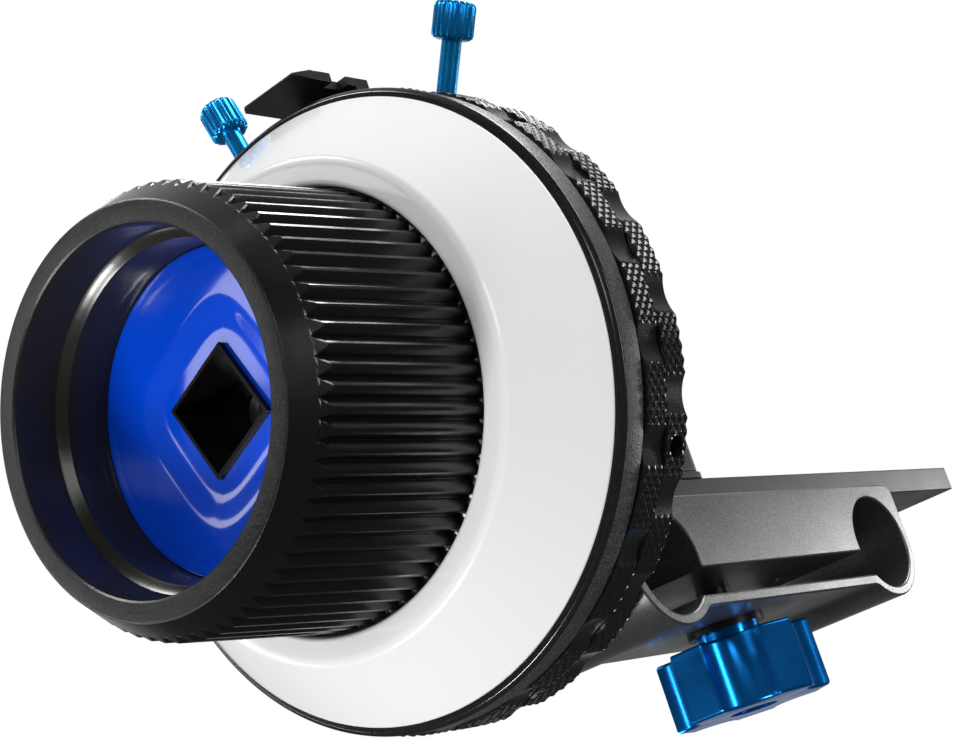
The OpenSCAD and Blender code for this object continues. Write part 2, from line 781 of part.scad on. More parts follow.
module disc_carrier() {
    edge = 0.4;
    web_front = grip_len + 2;
    hub_back = drum_back - 5;
    color(BLACK) on_wheel_axis() difference() {
        rotate_extrude($fn = 144) polygon([
            [shaft_r + key_play, web_front], [carrier_boss_inner_r, web_front],
            [carrier_boss_inner_r, grip_len], [carrier_boss_r, grip_len], [carrier_boss_r, rim_front],
            [rim_r - edge, rim_front], [rim_r, rim_front + edge], [rim_r, rim_back - edge],
            [rim_r - edge, rim_back], [drum_inner_r, rim_back],
            [drum_inner_r, rim_front + carrier_web_t], [shaft_r + 4, rim_front + carrier_web_t],
            [shaft_r + 4, hub_back], [shaft_r + key_play, hub_back]
        ]);
        at_three(carrier_screw_r, 0) translate([0, 0, rim_front + carrier_web_t])
            flat_screw_room(screw_d, screw_head_d, screw_head_h, rim_front + 3 - grip_len);
        at_three(disc_screw_r, small_screw_turn) translate([0, 0, rim_back])
            flat_screw_room(small_screw_d, small_screw_d + 1.6, 1, rim_w + 1);
        at_three(retainer_screw_r, small_screw_turn)
            translate([0, 0, rim_back - small_screw_bite - 0.3])
                cylinder(d = small_screw_d, h = small_screw_bite + 1);
    }
}

// Drum behind the carrier's rim, which both stop rings ride on
module ring_drum() {
    color(BLACK) on_wheel_axis() difference() {
        ring(drum_r, drum_inner_r, rim_back, drum_back);
        at_three(retainer_screw_r, small_screw_turn) translate([0, 0, rim_back - over])
            cylinder(d = small_screw_d + screw_play, h = drum_back - rim_back + 2 * over);
    }
}

module carrier_screws() {
    color(STEEL) on_wheel_axis() at_three(carrier_screw_r, 0)
        translate([0, 0, rim_front + carrier_web_t])
            flat_screw(screw_d, screw_head_d, screw_head_h, rim_front + carrier_web_t - grip_len + 7);
}

module marking_disc() {
    disc_back = disc_front + disc_t;
    boss_edge = 0.6;
    blend = 0.5;
    color(WHITE) on_wheel_axis() difference() {
        rotate_extrude($fn = 144) polygon([
            [grip_back_r + 0.3, disc_back], [grip_back_r + 0.3, disc_front + boss_edge],
            [grip_back_r + 0.3 + boss_edge, disc_front], [boss_r, disc_front],
            [(boss_r + cone_top_r) / 2, disc_front + blend * 0.3], [cone_top_r, disc_front + blend],
            [disc_r, disc_back - 0.15], [disc_r, disc_back]
        ]);
        at_three(disc_screw_r, small_screw_turn) translate([0, 0, disc_back - 2.4])
            cylinder(d = small_screw_d, h = 4);
    }
}

module disc_screws() {
    color(STEEL) on_wheel_axis() at_three(disc_screw_r, small_screw_turn) translate([0, 0, rim_back])
        flat_screw(small_screw_d, small_screw_d + 1.6, 1, rim_w + 2);
}

// One stop ring, with its scallops, its screw's hole and its spare hole
module stop_ring(front, screw_clock, spare_clock, scallop_phase) {
    hole_r = stop_shank_d / 2 + thread_play;
    color(BLACK) on_wheel_axis() difference() {
        ring(ring_r, drum_r + ring_play, front, front + ring_w);
        for (i = [0 : scallop_count - 1])
            at_clock(scallop_phase + i * 360 / scallop_count)
                translate([ring_r - scallop_depth + scallop_r, 0, front - over])
                    cylinder(r = scallop_r, h = ring_w + 2 * over);
        for (clock = [screw_clock, spare_clock])
            at_clock(clock) translate([drum_r - over, 0, front + ring_w / 2]) rotate([0, 90, 0])
                cylinder(r = hole_r, h = ring_r - drum_r + 3 * over);
    }
}

scallop_step = 360 / scallop_count;
ring_b_phase = stop_b_angle + spare_angle + scallop_step / 2;

module stop_ring_a() {
    stop_ring(ring_a_front, stop_a_angle, stop_a_angle - spare_angle, ring_b_phase + scallop_step / 2);
}

module stop_ring_b() {
    stop_ring(ring_b_front, stop_b_angle, stop_b_angle + spare_angle, ring_b_phase);
}

module ring_retainer() {
    color(BLACK) on_wheel_axis() difference() {
        ring(retainer_r, drum_inner_r, drum_back, retainer_back);
        at_three(retainer_screw_r, small_screw_turn) translate([0, 0, retainer_back])
            flat_screw_room(small_screw_d, small_screw_d + 1.2, retainer_t, retainer_t + 1);
    }
}

// Long screws that hold the retainer and the drum to the carrier
module retainer_screws() {
    len = retainer_back - rim_back + small_screw_bite;
    color(STEEL) on_wheel_axis() at_three(retainer_screw_r, small_screw_turn)
        translate([0, 0, retainer_back])
            flat_screw(small_screw_d, small_screw_d + 1.2, retainer_t, len);
}

// One stop screw, its axis through the middle of its ring's width
module stop_screw(clock, mid) {
    tip = drum_r + 0.3;
    chamfer = 0.4;
    head_r = stop_head_d / 2;
    head_end = stop_head_seat + stop_head_len;
    color(BLUE) on_wheel_axis() at_clock(clock) translate([0, 0, mid]) rotate([0, 90, 0]) difference() {
        union() {
            translate([0, 0, tip]) cylinder(d = stop_shank_d, h = stop_head_seat - tip);
            translate([0, 0, stop_head_seat]) cylinder(r1 = head_r - chamfer, r2 = head_r, h = chamfer);
            translate([0, 0, stop_head_seat + chamfer])
                cylinder(r = head_r, h = stop_head_len - 2 * chamfer);
            translate([0, 0, head_end - chamfer]) cylinder(r1 = head_r, r2 = head_r - chamfer, h = chamfer);
        }
        for (i = [0 : flute_count - 1]) rotate(i * 360 / flute_count)
            translate([head_r + 0.15, 0, stop_head_seat - over])
                cylinder(r = 0.45, h = stop_head_len + 2 * over, $fn = 24);
    }
}

module stop_screw_a() {
    stop_screw(stop_a_angle, ring_a_front + ring_w / 2);
}

module stop_screw_b() {
    stop_screw(stop_b_angle, stop_b_w);
}

rod_bracket();
clamp_stud();
guide_pin();
clamp_washer();
clamp_knob();
slide_rail();
rail_screws();
gearbox_base();
gearbox_housing();
index_pointer();
pointer_screws();
input_bushing();
output_bushing();
input_shaft();
input_bevel_gear();
output_shaft();
output_bevel_gear();
drive_gear();
gear_washer();
gear_screw();
hand_wheel();
hub_cap();
crank_socket();
hub_screw();
disc_carrier();
carrier_screws();
marking_disc();
disc_screws();
ring_drum();
stop_ring_a();
stop_ring_b();
ring_retainer();
retainer_screws();
stop_screw_a();
stop_screw_b();
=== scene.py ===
"""Follow focus unit: a grooved hand wheel with a marking disc and two stop rings turns
a bevel gearbox, which slides on a clamp bracket for two rods.

Sizes inside the sections are in millimetres, as on a drawing, and MM makes them metres.
A place on the wheel is given by its radius, its clock angle and its distance behind the
wheel's front face.
"""

import bmesh
import bpy
import numpy as np
from mathutils import Matrix, Vector


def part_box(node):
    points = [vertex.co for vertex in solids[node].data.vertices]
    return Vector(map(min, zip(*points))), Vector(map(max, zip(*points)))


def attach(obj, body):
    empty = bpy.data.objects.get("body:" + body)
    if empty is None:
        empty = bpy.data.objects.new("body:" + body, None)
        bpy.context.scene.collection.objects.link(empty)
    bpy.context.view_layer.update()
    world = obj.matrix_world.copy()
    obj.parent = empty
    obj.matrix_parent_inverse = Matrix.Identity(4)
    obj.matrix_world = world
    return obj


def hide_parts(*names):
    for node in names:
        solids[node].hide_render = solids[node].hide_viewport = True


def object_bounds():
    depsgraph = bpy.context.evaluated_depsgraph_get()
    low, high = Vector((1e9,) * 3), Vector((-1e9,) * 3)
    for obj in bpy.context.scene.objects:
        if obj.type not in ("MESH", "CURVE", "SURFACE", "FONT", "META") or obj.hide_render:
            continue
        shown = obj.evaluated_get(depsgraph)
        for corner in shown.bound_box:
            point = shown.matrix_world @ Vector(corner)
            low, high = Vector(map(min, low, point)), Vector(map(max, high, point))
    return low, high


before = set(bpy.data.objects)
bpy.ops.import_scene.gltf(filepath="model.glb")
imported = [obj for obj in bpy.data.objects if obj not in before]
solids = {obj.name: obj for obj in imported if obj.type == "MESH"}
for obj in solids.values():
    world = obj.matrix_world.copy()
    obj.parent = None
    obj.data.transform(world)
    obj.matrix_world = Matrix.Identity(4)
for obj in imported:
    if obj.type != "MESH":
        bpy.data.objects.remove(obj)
cad_bounds = [list(corner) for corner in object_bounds()]
studio = bpy.context.scene

# ---- Camera ----
# A long lens below the wheel's axis looks up at the front and right side, and leans a
# little, so that the wheel's axis falls from left to right across the picture.
camera_place = Vector((0.17012, -0.24031, -0.04435))
camera_forward = Vector((-0.57175, 0.77630, 0.26543)).normalized()
camera_up = Vector((0.40265, -0.01637, 0.91521))
camera_right = camera_forward.cross(camera_up).normalized()
camera_up = camera_right.cross(camera_forward)
lens = bpy.data.cameras.new("long_lens")
lens.sensor_width = 36.0
lens.lens = 79.7
lens.clip_start = 0.01
camera = bpy.data.objects.new("camera", lens)
studio.collection.objects.link(camera)
facing = Matrix((camera_right, camera_up, -camera_forward)).transposed().to_4x4()
camera.matrix_world = Matrix.Translation(camera_place) @ facing
studio.camera = camera

# ---- Studio ----
# A white surround, which shiny surfaces see bright above and behind the object and dim
# elsewhere. Soft lamps stand above, behind, at both sides, low in front and by the camera,
# and a small one near the bracket lights its end face.
studio.view_settings.view_transform = "Standard"
surround = bpy.data.worlds.new("white_surround")
studio.world = surround
surround.use_nodes = True
wiring = surround.node_tree
wiring.nodes.clear()
ray = wiring.nodes.new("ShaderNodeLightPath")
direction = wiring.nodes.new("ShaderNodeTexCoord")
towards = wiring.nodes.new("ShaderNodeVectorMath")
towards.operation = "DOT_PRODUCT"
towards.inputs[1].default_value = (-0.45, 0.55, 0.70)
mirrored = wiring.nodes.new("ShaderNodeMapRange")
mirrored.inputs["From Min"].default_value = 0.30
mirrored.inputs["From Max"].default_value = 0.95
mirrored.inputs["To Min"].default_value = 0.07
mirrored.inputs["To Max"].default_value = 0.65
shiny = wiring.nodes.new("ShaderNodeMath")
shiny.operation = "MAXIMUM"
level = wiring.nodes.new("ShaderNodeMix")
level.inputs[2].default_value = 0.37
seen = wiring.nodes.new("ShaderNodeMath")
seen.operation = "MAXIMUM"
white = wiring.nodes.new("ShaderNodeBackground")
white.inputs["Color"].default_value = (1.0, 1.0, 1.0, 1.0)
white_out = wiring.nodes.new("ShaderNodeOutputWorld")
wiring.links.new(direction.outputs["Generated"], towards.inputs[0])
wiring.links.new(towards.outputs["Value"], mirrored.inputs["Value"])
wiring.links.new(ray.outputs["Is Glossy Ray"], shiny.inputs[0])
wiring.links.new(ray.outputs["Is Transmission Ray"], shiny.inputs[1])
wiring.links.new(shiny.outputs["Value"], level.inputs[0])
wiring.links.new(mirrored.outputs["Result"], level.inputs[3])
wiring.links.new(level.outputs[0], seen.inputs[0])
wiring.links.new(ray.outputs["Is Camera Ray"], seen.inputs[1])
wiring.links.new(seen.outputs["Value"], white.inputs["Strength"])
wiring.links.new(white.outputs["Background"], white_out.inputs["Surface"])

object_middle = (Vector(cad_bounds[0]) + Vector(cad_bounds[1])) / 2


def soft_lamp(name, offset, size, power):
    """A rectangular lamp at an offset in metres from the object's middle, facing it."""
    light = bpy.data.lights.new(name, "AREA")
    light.shape = "RECTANGLE"
    light.size, light.size_y = size
    light.energy = power
    lamp = bpy.data.objects.new(name, light)
    lamp.location = object_middle + Vector(offset)
    lamp.rotation_euler = Vector(offset).to_track_quat("Z", "Y").to_euler()
    studio.collection.objects.link(lamp)


soft_lamp("above_left", (-0.30, -0.42, 0.64), (0.20, 0.14), 2.4)
soft_lamp("right_side", (0.78, -0.08, 0.00), (0.08, 0.40), 1.3)
soft_lamp("left_side", (-0.66, -0.42, -0.05), (0.06, 0.40), 0.9)
soft_lamp("front_left", (-0.41, -0.47, 0.22), (0.20, 0.09), 0.20)
soft_lamp("by_camera", (0.37, -0.68, 0.21), (0.40, 0.20), 1.05)
soft_lamp("low_front", (-0.22, -0.50, -0.42), (0.20, 0.08), 3.3)
soft_lamp("near_right", (0.100, 0.238, -0.035), (0.07, 0.07), 0.21)
soft_lamp("behind_left", (-0.72, 0.46, 0.34), (0.40, 0.40), 1.0)
soft_lamp("high_right", (0.32, 0.20, 0.61), (0.30, 0.30), 1.9)
soft_lamp("upper_right", (0.52, 0.16, 0.46), (0.25, 0.25), 1.7)
soft_lamp("behind_above", (0.10, 0.45, 0.62), (0.36, 0.08), 2.4)

# ---- Hand wheel ----
# Turned from aluminium bar, grooved along its slightly tapering grip and anodised black.
# The grooves run out in points on the bevel behind the flat front ring. A screw down the
# middle holds it on the gearbox's input shaft.
MM = 0.001
wheel_low, wheel_high = (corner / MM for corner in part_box("hand_wheel"))
axis_x = (wheel_low.x + wheel_high.x) / 2
axis_z = (wheel_low.z + wheel_high.z) / 2
face_y = wheel_low.y
grip_len = wheel_high.y - wheel_low.y
grip_back_r = (wheel_high.x - wheel_low.x) / 2
grip_front_r = 29.0
front_face_r = 26.2
recess_r = 23.3
bevel_len = 5.0
groove_count = 72
groove_depth = 1.0
groove_w = 1.9
ridge_edge = 0.14
ridge_edge_share = 0.35
bottom_share = 0.05
narrowest = 0.12
front_round = 0.12
back_round = 0.35
plain_bevel_end = 2.6
runout_start = 2.75
cap_low, cap_high = (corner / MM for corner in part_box("hub_cap"))
cap_face = cap_low.y - face_y
cap_back = cap_high.y - face_y
cap_r = (cap_high.x - cap_low.x) / 2


def on_wheel(radius, clock, back):
    """Place of each radius, clock angle and distance back: x goes with the radius times the
    angle's sine and z with its cosine, both from the wheel's axis. The result is in metres."""
    x = axis_x + radius * np.sin(clock)
    z = axis_z + radius * np.cos(clock)
    return np.stack(np.broadcast_arrays(x, face_y + back, z), axis=-1) * MM


def skin(name, points, body, finishes, bands=None, ring=True, sharp=32.0):
    """One closed skin over a grid of places: a quad joins each four neighbours, the last
    column meets the first, and the last row too where the rows make a ring. Without a ring,
    the first and last rows are closed with flat faces. Bands number each row's finish."""
    rows, columns = points.shape[:2]
    index = np.arange(rows * columns).reshape(rows, columns)
    lower = index if ring else index[:-1]
    upper = np.roll(index, -1, axis=0) if ring else index[1:]
    quads = np.stack([lower, np.roll(lower, -1, 1), np.roll(upper, -1, 1), upper], axis=-1)
    faces = quads.reshape(-1, 4).tolist()
    ends = [] if ring else [index[0, ::-1].tolist(), index[-1].tolist()]
    mesh = bpy.data.meshes.new(name)
    mesh.from_pydata(points.reshape(-1, 3), [], faces + ends)
    for finish in finishes:
        mesh.materials.append(finish)
    if bands is not None:
        numbers = np.zeros(len(mesh.polygons), dtype=np.int32)
        numbers[: len(faces)] = np.repeat(np.asarray(bands)[: len(lower)], columns)
        mesh.polygons.foreach_set("material_index", numbers)
    mesh.shade_smooth()
    mesh.set_sharp_from_angle(angle=np.radians(sharp))
    piece = bpy.data.objects.new(name, mesh)
    studio.collection.objects.link(piece)
    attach(piece, body)
    return piece


def eased(corners, reach, steps=3):
    """A closed outline whose corners are rounded: each becomes a short curve between points
    set back along its two sides, a blend of the first point, the corner twice and the last."""
    corner = np.asarray(corners, dtype=float)
    before = np.roll(corner, 1, axis=0) - corner
    after = np.roll(corner, -1, axis=0) - corner
    before_len = np.linalg.norm(before, axis=1, keepdims=True)
    after_len = np.linalg.norm(after, axis=1, keepdims=True)
    back = np.minimum(reach, np.minimum(before_len, after_len) * 0.4)
    start = (corner + before / before_len * back)[:, None]
    end = (corner + after / after_len * back)[:, None]
    t = np.linspace(0.0, 1.0, steps + 1)[None, :, None]
    curve = start * (1 - t) ** 2 + corner[:, None] * 2 * t * (1 - t) + end * t**2
    return curve.reshape(-1, 2)


def worked_finish(
    name, colour, roughness, grain, depth, mottle=0.25, metal=0.0, shine=0.35, cloud=8.0
):
    """Blasted, turned or moulded surface: a fine grain of the given size and depth in mm
    moves the tone by the mottle's share, and slow clouds of a size in mm vary the
    roughness."""
    finish = bpy.data.materials.new(name)
    finish.use_nodes = True
    tree = finish.node_tree
    coat = tree.nodes["Principled BSDF"]
    coat.inputs["Metallic"].default_value = metal
    coat.inputs["Specular IOR Level"].default_value = shine
    place = tree.nodes.new("ShaderNodeTexCoord")
    speck = tree.nodes.new("ShaderNodeTexNoise")
    speck.inputs["Scale"].default_value = 1.0 / (grain * MM)
    speck.inputs["Detail"].default_value = 2.0
    drift = tree.nodes.new("ShaderNodeTexNoise")
    drift.inputs["Scale"].default_value = 1.0 / (cloud * MM)
    tone = tree.nodes.new("ShaderNodeValToRGB")
    dark, light = tone.color_ramp.elements
    dark.position = 0.35
    dark.color = (*[part * (1 - mottle) for part in colour], 1.0)
    light.position = 0.65
    light.color = (*[min(1.0, part * (1 + mottle)) for part in colour], 1.0)
    gloss = tree.nodes.new("ShaderNodeMapRange")
    gloss.inputs["From Min"].default_value = 0.3
    gloss.inputs["From Max"].default_value = 0.7
    gloss.inputs["To Min"].default_value = roughness * 0.85
    gloss.inputs["To Max"].default_value = roughness * 1.15
    relief = tree.nodes.new("ShaderNodeBump")
    relief.inputs["Distance"].default_value = depth * MM
    for noise in (speck, drift):
        tree.links.new(place.outputs["Object"], noise.inputs["Vector"])
    tree.links.new(speck.outputs["Fac"], tone.inputs["Fac"])
    tree.links.new(tone.outputs["Color"], coat.inputs["Base Color"])
    tree.links.new(drift.outputs["Fac"], gloss.inputs["Value"])
    tree.links.new(gloss.outputs["Result"], coat.inputs["Roughness"])
    tree.links.new(speck.outputs["Fac"], relief.inputs["Height"])
    tree.links.new(relief.outputs["Normal"], coat.inputs["Normal"])
    return finish


grip_black = worked_finish("grip_black", (0.004, 0.004, 0.005), 0.21, 0.25, 0.008, shine=0.42)
face_black = worked_finish(
    "face_black", (0.010, 0.010, 0.011), 0.34, 0.28, 0.030, 0.8, shine=0.45
)
recess_black = worked_finish(
    "recess_black", (0.018, 0.017, 0.014), 0.22, 0.5, 0.002, 0.05, shine=0.4
)

# Rows along the grip, close together on the bevel, where each groove narrows to a point.
grip_back = np.concatenate(
    [
        np.linspace(front_round, plain_bevel_end, 6),
        np.linspace(runout_start, bevel_len, 20)[:-1],
        np.linspace(bevel_len, grip_len - back_round, 12),
    ]
)
along_taper = np.clip((grip_back - bevel_len) / (grip_len - bevel_len), 0, 1)
taper = along_taper * (grip_back_r - grip_front_r)
bevel = np.clip(1 - grip_back / bevel_len, 0, 1) * (grip_front_r - front_face_r)
grip_r = grip_front_r + taper - bevel
cut = np.clip(groove_depth - bevel, 0, None)
half_cut = np.maximum(groove_w / 2 * cut / groove_depth, narrowest)
eased_by = np.minimum(ridge_edge, half_cut * ridge_edge_share)

# Across each groove: the ridge's broken edge, the flank, the bottom, and the same back. The
# radius falls from the ridge's by the cut less the flank's slope times the distance from
# the groove's middle.
edge_out = half_cut + eased_by
edge_in = half_cut - eased_by
ridge_middle = np.pi * grip_r / groove_count
bottom = bottom_share * half_cut
across = np.stack(
    [-edge_out, -edge_in, -bottom, bottom, edge_in, edge_out, ridge_middle], axis=1
)
flank = np.stack([edge_out, edge_in, bottom, bottom, edge_in, edge_out, ridge_middle], axis=1)
flank_slope = groove_depth / (groove_w / 2)
drop = np.clip(cut[:, None] - flank * flank_slope, 0, None)
groove_clock = np.arange(groove_count) * 2 * np.pi / groove_count
grip_clock = groove_clock[None, :, None] + (across / grip_r[:, None])[:, None]
grip_clock = grip_clock.reshape(len(grip_r), -1)
grip_radius = np.tile((grip_r[:, None] - drop)[:, None], (1, groove_count, 1))
grip_radius = grip_radius.reshape(len(grip_r), -1)

# The rest of the wheel's outline, from the edge behind the grip round to its front: the back
# and the hub's bores, the recess with its rounded step round the cap, and the front ring.
hub_r = 12.0
wall_back_r = 22.0
web_back = 22.0
shaft_r = 4.03
shaft_bore_end = 25.8
screw_hole_r = 1.6
screw_seat_r = 3.05
screw_seat = 24.2
socket_pocket_r = 9.2
socket_pocket_end = 22.3
cap_play = 0.05
hub_outline = [
    (grip_back_r - 0.25, grip_len),
    (wall_back_r, grip_len),
    (wall_back_r, web_back),
    (hub_r, web_back),
    (hub_r, grip_len),
    (shaft_r, grip_len),
    (shaft_r, shaft_bore_end),
    (screw_hole_r, shaft_bore_end),
    (screw_hole_r, screw_seat),
    (screw_seat_r, screw_seat),
    (screw_seat_r, socket_pocket_end),
    (socket_pocket_r, socket_pocket_end),
    (socket_pocket_r, cap_back),
]
recess_outline = [
    (cap_r + cap_play, cap_back),
    (cap_r + cap_play, 8.3),
    (cap_r + 0.2, 7.85),
    (cap_r + 0.6, 7.5),
    (recess_r - 0.55, 7.05),
    (recess_r - 0.15, 6.8),
    (recess_r, 6.4),
    (recess_r, 0.45),
]
front_outline = [
    (recess_r + 0.1, 0.18),
    (recess_r + 0.35, 0.0),
    (front_face_r - 0.3, 0.0),
    (front_face_r - 0.1, 0.03),
]
rest = np.array(hub_outline + recess_outline + front_outline)
rest_clock = np.broadcast_to(grip_clock[0], (len(rest), grip_clock.shape[1]))
grip_places = on_wheel(grip_radius, grip_clock, grip_back[:, None])
wheel_places = np.concatenate([grip_places, on_wheel(rest[:, :1], rest_clock, rest[:, 1:])])
wheel_finishes = (grip_black, face_black, recess_black)
grip_rows = len(grip_back) + len(hub_outline)
wheel_bands = np.repeat([0, 2, 1], [grip_rows, len(recess_outline), len(front_outline)])
hand_wheel = skin(
    "grooved_hand_wheel",
    wheel_places,
    "wheel",
    wheel_finishes,
    wheel_bands,
    sharp=24.0,
)
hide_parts("hand_wheel")

# ---- Blue cap and crank socket ----
# A glossy blue moulding pressed into the wheel's recess. Its face steps down in a rounded
# square round the black sleeve that takes the square end of a crank.
socket_turn = np.radians(22.5)
socket_half = 6.27
cap_columns = 4 * 32
cap_rows = 44
cap_edge = 0.35
cap_clock = socket_turn + np.arange(cap_columns) * 2 * np.pi / cap_columns
side_angle = np.mod(cap_clock - socket_turn, np.pi / 2) - np.pi / 4
square_r = socket_half / np.cos(side_angle)
hollow_reach = 13.0
hollow_shoulder = 4.2
hollow_depth = 0.7
rim_groove_inset = 1.6
rim_groove_spread = 0.22
rim_groove_depth = 0.06


def cap_hollow(radius, clock):
    """How far the cap's face is hollowed: a smooth step down inside a rounded square, whose
    size is the fourth root of the sum of fourth powers of its two sides."""
    turned_by = clock - socket_turn + np.pi / 4
    size = ((radius * np.sin(turned_by)) ** 4 + (radius * np.cos(turned_by)) ** 4) ** 0.25
    part = np.clip((hollow_reach - size) / hollow_shoulder, 0, 1)
    return hollow_depth * part**2 * (3 - 2 * part)


# The face runs from the square hole out to the cap's edge. Near the edge a shallow groove
# follows it, whose depth falls off on both sides as a bell curve.
reach_rows = np.linspace(0.0, 1.0, cap_rows)[:, None]
cap_radius = square_r[None] + (cap_r - cap_edge - square_r[None]) * reach_rows
cap_depth = cap_face + cap_hollow(cap_radius, cap_clock[None])
from_groove = (cap_radius - cap_r + rim_groove_inset) / rim_groove_spread
rim_groove = rim_groove_depth * np.exp(-(from_groove**2))
cap_front = on_wheel(cap_radius, cap_clock[None], cap_depth + rim_groove)
cap_sides = [(cap_r - 0.1, cap_face + 0.08), (cap_r, cap_face + cap_edge), (cap_r, cap_back)]
cap_rest = [
    on_wheel(np.full((1, cap_columns), radius), cap_clock[None], back)
    for radius, back in cap_sides
]
cap_hole = on_wheel(square_r[None], cap_clock[None], cap_back)
cap_places = np.concatenate([cap_front, *cap_rest, cap_hole])


def gloss_plastic(name, colour, roughness, mottle, waviness):
    """Polished plastic: an almost even colour, and slow waves of the given height in mm that
    bend its reflections, under a clear coat."""
    wave_size = 20.0
    finish = worked_finish(
        name, colour, roughness, wave_size, waviness, mottle, shine=0.5, cloud=2 * wave_size
    )
    coat = finish.node_tree.nodes["Principled BSDF"]
    coat.inputs["Coat Weight"].default_value = 0.5
    coat.inputs["Coat Roughness"].default_value = 0.05
    return finish


royal_blue = gloss_plastic("royal_blue", (0.0, 0.062, 0.68), 0.12, 0.05, 0.002)
hub_cap = skin("blue_hub_cap", cap_places, "wheel", (royal_blue,), sharp=40.0)
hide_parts("hub_cap")


def dress(finish, *names):
    """Give CAD solids a finish in place of their plain one."""
    for name in names:
        mesh = solids[name].data
        mesh.materials.clear()
        mesh.materials.append(finish)


socket_black = worked_finish(
    "socket_black", (0.004, 0.003, 0.003), 0.40, 0.25, 0.006, shine=0.2
)
dress(socket_black, "crank_socket")

# ---- White marking disc ----
# A glossy white ring moulded with a raised boss round the grip and a wide cone, on which
# focus marks are drawn with a wipeable pen. Screws from behind hold it to its carrier.
disc_low, disc_high = (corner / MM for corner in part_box("marking_disc"))
disc_front = disc_low.y - face_y
disc_back = disc_high.y - face_y
disc_r = (disc_high.x - disc_low.x) / 2
disc_bore_r = grip_back_r + 0.3
boss_r = 33.5
round_columns = 360
round_clock = np.arange(round_columns)[None] * 2 * np.pi / round_columns


def turned(name, outline, body, finishes, bands=None):
    """A turned piece: a closed outline of radius and distance back, swept round the axis."""
    places = on_wheel(outline[:, :1], round_clock, outline[:, 1:])
    return skin(name, places, body, finishes, bands)


disc_outline = eased(
    [
        (disc_bore_r, disc_back),
        (disc_bore_r, disc_front + 0.1),
        (boss_r - 0.1, disc_front),
        (boss_r + 0.9, disc_front + 0.25),
        (disc_r - 0.05, disc_back - 0.3),
        (disc_r, disc_back),
    ],
    reach=0.9,
    steps=6,
)
enamel_white = gloss_plastic("enamel_white", (0.80, 0.795, 0.795), 0.30, 0.002, 0.001)
marking_disc = turned(
    "white_marking_disc", disc_outline, "wheel", (enamel_white,)
)
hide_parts("marking_disc")

# ---- Disc carrier and ring drum ----
# A turned aluminium plate behind the disc, blasted on its rim and polished on its narrow
# front edge, all anodised. The drum behind it carries both stop rings.
carrier_low, carrier_high = (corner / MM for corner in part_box("disc_carrier"))
rim_r = (carrier_high.x - carrier_low.x) / 2
rim_gap = 0.15
rim_w = 4.5
rim_front = disc_back + rim_gap
rim_back = rim_front + rim_w
rim_round = 0.35
drum_inner_r = 34.0
plate_back = rim_front + 2.0
centre_r = 23.0
centre_front = 34.0
hub_outer_r = 8.0
hub_back = 49.9
carrier_corners = [
    (shaft_r, hub_back),
    (shaft_r, centre_front),
    (centre_r, centre_front),
    (centre_r, grip_len),
    (disc_bore_r - 0.05, grip_len),
    (disc_bore_r - 0.05, rim_front),
    (rim_r - 0.55, rim_front),
    (rim_r, rim_front + 0.5),
    (rim_r, rim_back - rim_round),
    (rim_r - rim_round, rim_back),
    (drum_inner_r, rim_back),
    (drum_inner_r, plate_back),
    (hub_outer_r, plate_back),
    (hub_outer_r, hub_back),
]
carrier_steps = 2
carrier_outline = eased(carrier_corners, 0.12, carrier_steps)
rim_grey = worked_finish("rim_grey", (0.035, 0.035, 0.036), 0.46, 0.28, 0.060, 0.8, shine=0.6)
edge_gloss = worked_finish("edge_gloss", (0.008, 0.008, 0.009), 0.18, 0.5, 0.002, shine=0.6)
# The polish reaches from the bore out to the rim's front corner, which is the outline's
# eighth. The rest is blasted.
polished_rows = 7 * (carrier_steps + 1) + carrier_steps
carrier_bands = np.zeros(len(carrier_outline), dtype=int)
carrier_bands[:polished_rows] = 1
carrier_finishes = (rim_grey, edge_gloss)
disc_carrier = turned(
    "disc_carrier_plate",
    carrier_outline,
    "wheel",
    carrier_finishes,
    carrier_bands,
)
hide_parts("disc_carrier")
drum_black = worked_finish("drum_black", (0.016, 0.016, 0.017), 0.38, 0.25, 0.010, 0.3)
dress(drum_black, "ring_drum", "ring_retainer")

# ---- Stop rings ----
# Two aluminium rings, diamond-knurled with a rolling tool and then milled with shallow
# scallops, which cut smooth hollows between the knurled lands. Each has two tapped holes:
# one for its stop screw and a spare.
ring_r = 45.3
ring_bore_r = 38.08
scallop_count = 21
scallop_r = 6.5
scallop_depth = 0.8
scallop_centre_r = ring_r - scallop_depth + scallop_r
knurl_depth = 0.28
knurl_rows = 3
knurl_count = 150
knurl_samples = 8
knurl_top = 0.80
spare_hole_r = 1.5
hole_rim_w = 0.19
hole_round = 0.1
ring_edge = 0.14
clock_a = np.radians(-14.7)
clock_b = np.radians(30.8)
spare_turn = np.radians(88.0)
scallop_step = 2 * np.pi / scallop_count
phase_b = clock_b + spare_turn + scallop_step / 2


